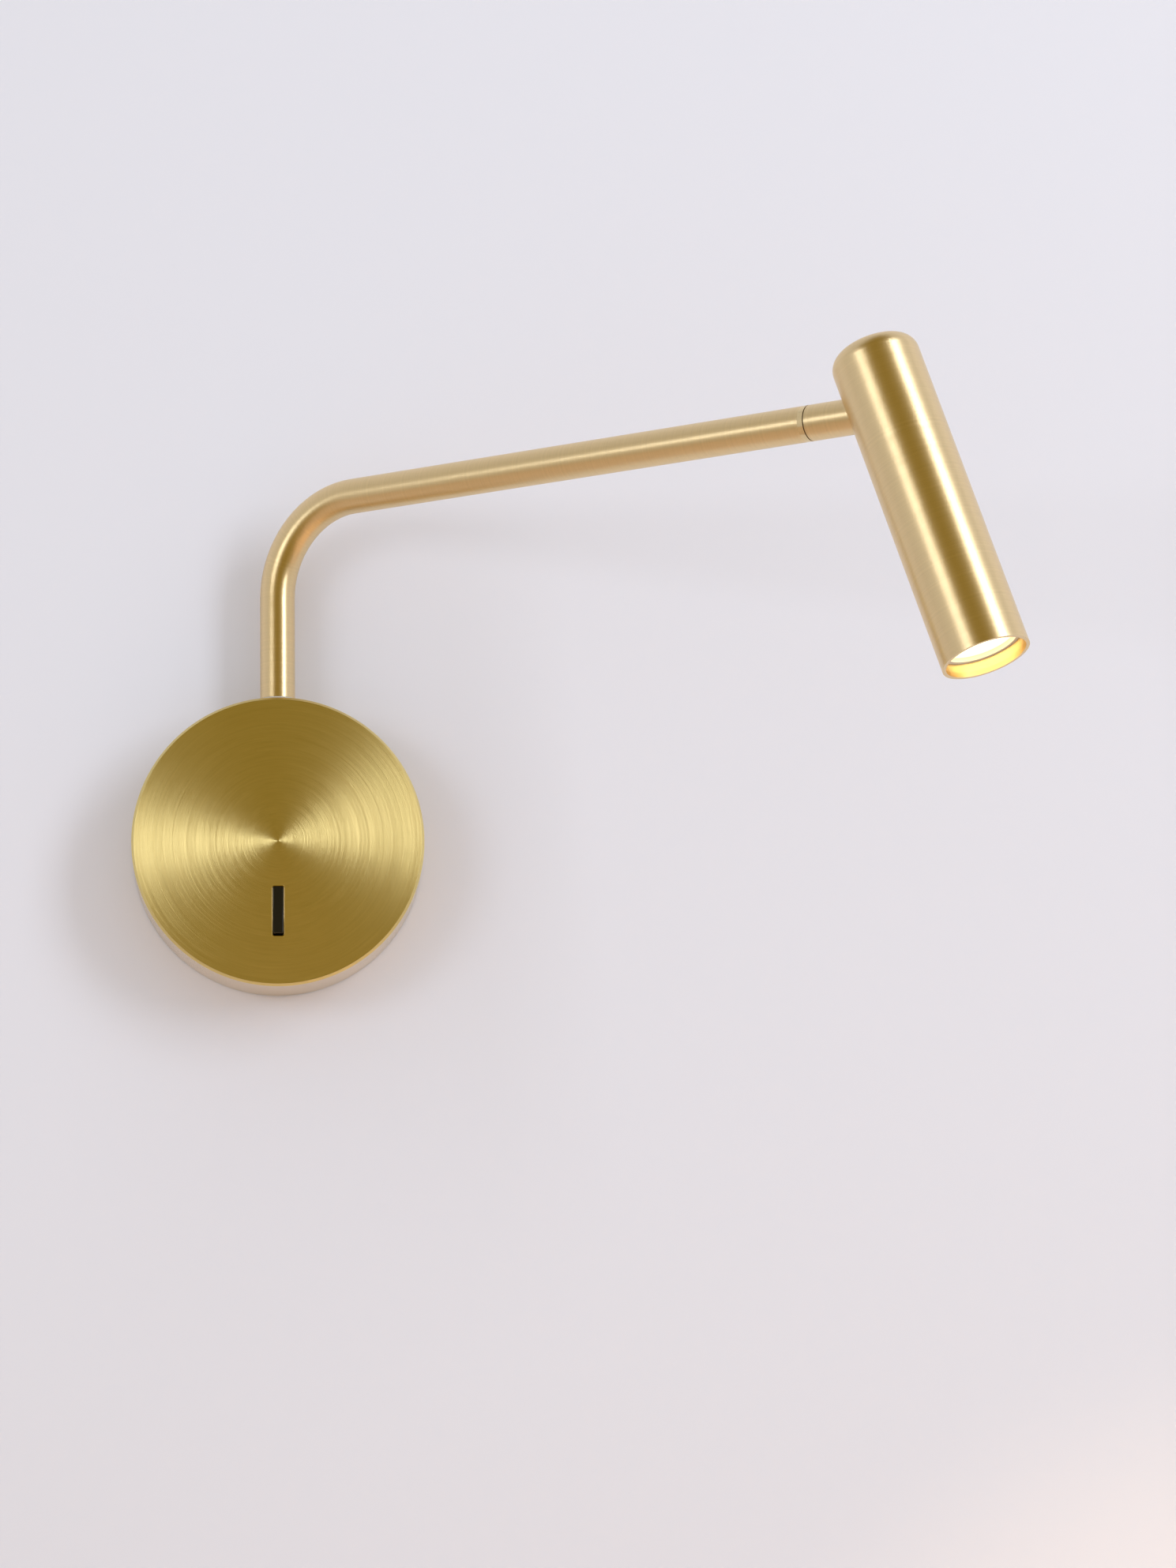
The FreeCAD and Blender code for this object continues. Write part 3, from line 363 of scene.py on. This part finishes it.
bpy.ops.object.mode_set(mode="OBJECT")
bpy.ops.mesh.primitive_cylinder_add(
    vertices=PIN_SIDES, radius=PIN_R, depth=PIN_LENGTH, rotation=(0, radians(90), 0))
pin = bpy.context.object
bpy.ops.object.transform_apply(location=True, rotation=True, scale=True)
bpy.ops.object.mode_set(mode="EDIT")
pick(pin, "edges", lambda e: abs(abs(middle(e).x) - PIN_LENGTH / 2) < TOUCH)
bpy.ops.mesh.bevel(offset=PIN_ROUND, segments=PIN_STEPS, affect="EDGES")
bpy.ops.object.mode_set(mode="OBJECT")
rocker.select_set(True)
bpy.context.view_layer.objects.active = rocker
bpy.ops.object.join()
rocker.rotation_euler = (ROCKER_TURN, 0, 0)
rocker.location = PIVOT_PLACE
bpy.ops.object.transform_apply(location=True, rotation=True, scale=True)
bpy.ops.object.shade_smooth_by_angle(angle=SMOOTH_TO)
rocker.data.materials.append(
    moulding("gloss_black_moulding", (0.006, 0.006, 0.007), rough=0.10, grain=900, depth=0.05))
wear("rocker", rocker.data.materials[0])
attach(rocker, "rocker")
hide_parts("rocker")
wear("switch_body", moulding("black_moulding", (0.02, 0.02, 0.02), rough=0.5, grain=1500, depth=0.3))

# ---- Edge of the slot: the punch leaves a fine bright lip round the rocker's slot. It is brass, polished
# by the last stroke of the brush, and stands 0.06 mm proud.

SLOT_PLACE = Vector((0, -25.0, -24.2)) * MM
LIP_OUTSIDE = Vector((4.3, 0.12, 17.7)) * MM
LIP_CORNER, LIP_CORNER_STEPS = 0.85 * MM, 5
LIP_WIDTH = 0.25 * MM
LIP_ROUND, LIP_STEPS = 0.04 * MM, 2
FACING = 0.9
bpy.ops.object.select_all(action="DESELECT")
bpy.ops.mesh.primitive_cube_add(size=1, location=SLOT_PLACE, scale=LIP_OUTSIDE)
lip = bpy.context.object
lip.name = "slot_lip"
bpy.ops.object.transform_apply(location=True, rotation=False, scale=True)
bpy.ops.object.mode_set(mode="EDIT")
pick(lip, "edges", lambda e: abs(e.verts[0].co.y - e.verts[1].co.y) > LIP_OUTSIDE.y - TOUCH)
bpy.ops.mesh.bevel(offset=LIP_CORNER, segments=LIP_CORNER_STEPS, affect="EDGES")
pick(lip, "faces", lambda f: abs(f.normal.y) > FACING)
bpy.ops.mesh.inset(thickness=LIP_WIDTH)
bpy.ops.mesh.bridge_edge_loops()
pick(lip, "edges", lambda e: is_sharp(e) and middle(e).y < SLOT_PLACE.y)
bpy.ops.mesh.bevel(offset=LIP_ROUND, segments=LIP_STEPS, affect="EDGES")
bpy.ops.mesh.select_all(action="SELECT")
bpy.ops.mesh.normals_make_consistent(inside=False)
bpy.ops.object.mode_set(mode="OBJECT")
bpy.ops.object.shade_smooth_by_angle(angle=SMOOTH_TO)
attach(lip, "wall_base")

METAL_TINT = 0.15
METAL_ROUGHNESS_PLAY = 0.1
METAL_BUMP, METAL_BUMP_STRENGTH = 0.05 * MM, 0.2


def turned_metal(name, colour, rough, grain):
    material, shader, strand = finish_of(name, Metallic=1.0)
    place = strand.node("ShaderNodeTexCoord", out="Object")
    scratches = strand.node("ShaderNodeTexNoise", None, {"Vector": place, "Scale": grain, "Detail": 4.0})
    bump = strand.node("ShaderNodeBump", None, {
        "Strength": METAL_BUMP_STRENGTH, "Distance": METAL_BUMP, "Height": scratches})
    feed(shader, "Base Color", tint(strand, colour, METAL_TINT, scratches))
    feed(shader, "Roughness", rough - METAL_ROUGHNESS_PLAY / 2 + scratches * METAL_ROUGHNESS_PLAY)
    feed(shader, "Normal", bump)
    return material


polished_brass = turned_metal("polished_brass", (0.85, 0.67, 0.37), rough=0.20, grain=400)
lip.data.materials.append(polished_brass)

# ---- Swivel gap: the arm's end plug shows as a narrow polished band. A thin washer lies between it and the
# collar, and its dark brown colour is painted shade for the dark line of the gap.

wear("arm_end_insert", polished_brass)
# The washer is a real part, but its dark brown is painted shade of the swivel gap.
wear("swivel_washer", moulding("brown_fibre", (0.10, 0.065, 0.03), rough=0.6, grain=1500, depth=0.3))

# ---- Inside the lamp: white and grey mouldings, foam and pads. The driver is taped into the canopy, the
# bearing washers lie in the pivots, and the lens ring closes the mouth.

wear("led_driver", "terminal_block", "thrust_washer", "tilt_washers", "lens_ring",
     moulding("white_moulding", (0.8, 0.8, 0.78), rough=0.45, grain=1200, depth=0.25))
wear("driver_tape", "thermal_pad",
     moulding("grey_foam", (0.16, 0.16, 0.17), rough=0.9, grain=2500, depth=0.8))
wear("led_board", moulding("board_white", (0.85, 0.85, 0.84), rough=0.35, grain=1000, depth=0.1))

# ---- Metal parts inside: a zinc-plated pressed bracket on the wall, bright steel screws and pins, turned
# brass for the pivots and contacts, and bar aluminium for the yoke, the heat sink and the reflector.

wear("wall_bracket", turned_metal("zinc_plate", (0.6, 0.62, 0.63), rough=0.35, grain=300))
wear("canopy_screws", "tilt_pin", "yoke_screws", "board_screws", "terminal_screws",
     "inner_saddle_washer", "swing_stop_pin", "swivel_stop_pin",
     turned_metal("bright_steel", (0.6, 0.6, 0.61), rough=0.25, grain=900))
wear("base_nut", "base_stud", "swivel_spindle", "earth_screw", "switch_terminals",
     turned_metal("plain_brass", (0.75, 0.56, 0.25), rough=0.3, grain=900))
wear("tilt_yoke", "heat_sink",
     turned_metal("turned_aluminium", (0.78, 0.79, 0.8), rough=0.3, grain=600))
wear("reflector", turned_metal("bright_reflector", (0.93, 0.9, 0.84), rough=0.3, grain=500))

# ---- Room: a plain pale wall that the lamp hangs on, and a plain floor below, whose warm tone shows in
# the arm's underside. The wall is clear from behind, and open where the canopy covers it, so that the
# bracket can be seen from there.

OPENING_R = 48 * MM


def matt_paint(name, colour):
    material, shader, strand = finish_of(name, Base_Color=(*colour, 1), Roughness=0.9)
    across, _, high = strand.node("ShaderNodeNewGeometry", out="Position").parts()
    opening = strand.math("LESS_THAN", across * across + high * high, OPENING_R ** 2)
    behind = strand.math("MAXIMUM", strand.node("ShaderNodeNewGeometry", out="Backfacing"), opening)
    paint = Strand(strand.tree, shader.outputs["BSDF"])
    clear = strand.node("ShaderNodeBsdfTransparent")
    mixed = strand.node("ShaderNodeMixShader", None, {0: behind, 1: paint, 2: clear})
    feed(strand.tree.nodes["Material Output"], "Surface", mixed)
    return material


for name, extent, spot, turn, paint in (
        ("wall", (8.0, 8.0, 1), (0, 0.0005, 2.0), (radians(90), 0, 0), (0.785, 0.775, 0.785)),
        ("floor", (4.0, 0.8, 1), (0, -0.4, -0.6), (0, 0, 0), (0.72, 0.54, 0.38))):
    bpy.ops.mesh.primitive_plane_add(size=1, location=spot, rotation=turn)
    ground = bpy.context.object
    ground.scale = extent
    ground.name = name
    ground.data.materials.append(matt_paint(name + "_paint", paint))

# ---- Light: two soft boxes in front, left and right, and the lamp's own beam, which moves with the lens.
# The room is pale, but its side behind the camera is dark in the brass's reflections.

LIT_CENTRE = Vector((0.1, -0.05, 0.05))
BOX_WHITE = (0.93, 1.0, 1.16)


def soft_box(name, azimuth, elevation, distance, width, height, power):
    light = bpy.data.lights.new(name, "AREA")
    light.shape = "RECTANGLE"
    light.size = width
    light.size_y = height
    light.energy = power
    light.color = BOX_WHITE
    box = bpy.data.objects.new(name, light)
    bpy.context.scene.collection.objects.link(box)
    side, lift = radians(azimuth), radians(elevation)
    spot = LIT_CENTRE + distance * Vector((sin(side) * cos(lift), -cos(side) * cos(lift), sin(lift)))
    box.location = spot
    box.rotation_euler = (LIT_CENTRE - spot).to_track_quat("-Z", "Y").to_euler()


soft_box("left_box", azimuth=-42, elevation=7, distance=2.0, width=0.78, height=0.55, power=4.9)
soft_box("right_box", azimuth=46, elevation=20, distance=2.0, width=0.62, height=1.3, power=15.5)

BEAM_FROM_PIN = 92 * MM
beam = bpy.data.objects.new("lamp_beam", bpy.data.lights.new("lamp_beam", "SPOT"))
beam.data.energy = 7.5
beam.data.color = (1.0, 0.68, 0.38)
beam.data.spot_size = radians(104)
beam.data.spot_blend = 1.0
beam.data.shadow_soft_size = 0.01
beam.location = tilt_place + down_head * BEAM_FROM_PIN
beam.rotation_euler = down_head.to_track_quat("-Z", "Y").to_euler()
bpy.context.scene.collection.objects.link(beam)
beam.parent = nodes["lens"]
beam.matrix_parent_inverse = nodes["lens"].matrix_world.inverted()

DARK_SIDE = (0.28, 0.20, 0.025, 1)
PALE_AIR = (0.68, 0.675, 0.70, 1)
DARK_TURN = 0.05
DARK_TO, PALE_FROM = 0.72, 1.15
world = bpy.data.worlds.new("studio")
world.use_nodes = True
room = Strand(world.node_tree)
across, away, _ = room.node("ShaderNodeTexCoord", out="Generated").parts()
bearing = room.math("ABSOLUTE", room.math("ARCTAN2", across, away * -1.0) + DARK_TURN)
open_side = room.node("ShaderNodeMapRange", {"interpolation_type": "SMOOTHSTEP"}, {
    "Value": bearing, "From Min": DARK_TO, "From Max": PALE_FROM})
plain_rays = (room.node("ShaderNodeLightPath", out="Is Camera Ray")
              + room.node("ShaderNodeLightPath", out="Is Diffuse Ray"))
air = room.mix(room.math("MAXIMUM", open_side, plain_rays), DARK_SIDE, PALE_AIR)
feed(world.node_tree.nodes["Background"], "Color", air)
bpy.context.scene.world = world
bpy.context.scene.view_settings.view_transform = "Standard"

# ---- Camera: below the lamp and a little to its left, with a long lens. Its place and turn were fitted
# to the lamp's edges.

CAMERA_PLACE = Vector((-5.9, -1900.6, -306.4)) * MM
CAMERA_YAW, CAMERA_PITCH, CAMERA_ROLL = radians(3.42), radians(9.84), radians(-0.67)
LENS = 127.6
ahead = Vector((sin(CAMERA_YAW) * cos(CAMERA_PITCH), cos(CAMERA_YAW) * cos(CAMERA_PITCH),
                sin(CAMERA_PITCH)))
level_right = Vector((cos(CAMERA_YAW), -sin(CAMERA_YAW), 0))
level_up = level_right.cross(ahead)
right = cos(CAMERA_ROLL) * level_right + sin(CAMERA_ROLL) * level_up
up = -sin(CAMERA_ROLL) * level_right + cos(CAMERA_ROLL) * level_up
camera = bpy.data.objects.new("camera", bpy.data.cameras.new("camera"))
bpy.context.scene.collection.objects.link(camera)
camera.data.lens = LENS
camera.matrix_world = Matrix.Translation(CAMERA_PLACE) @ Matrix((right, up, -ahead)).transposed().to_4x4()
bpy.context.scene.camera = camera
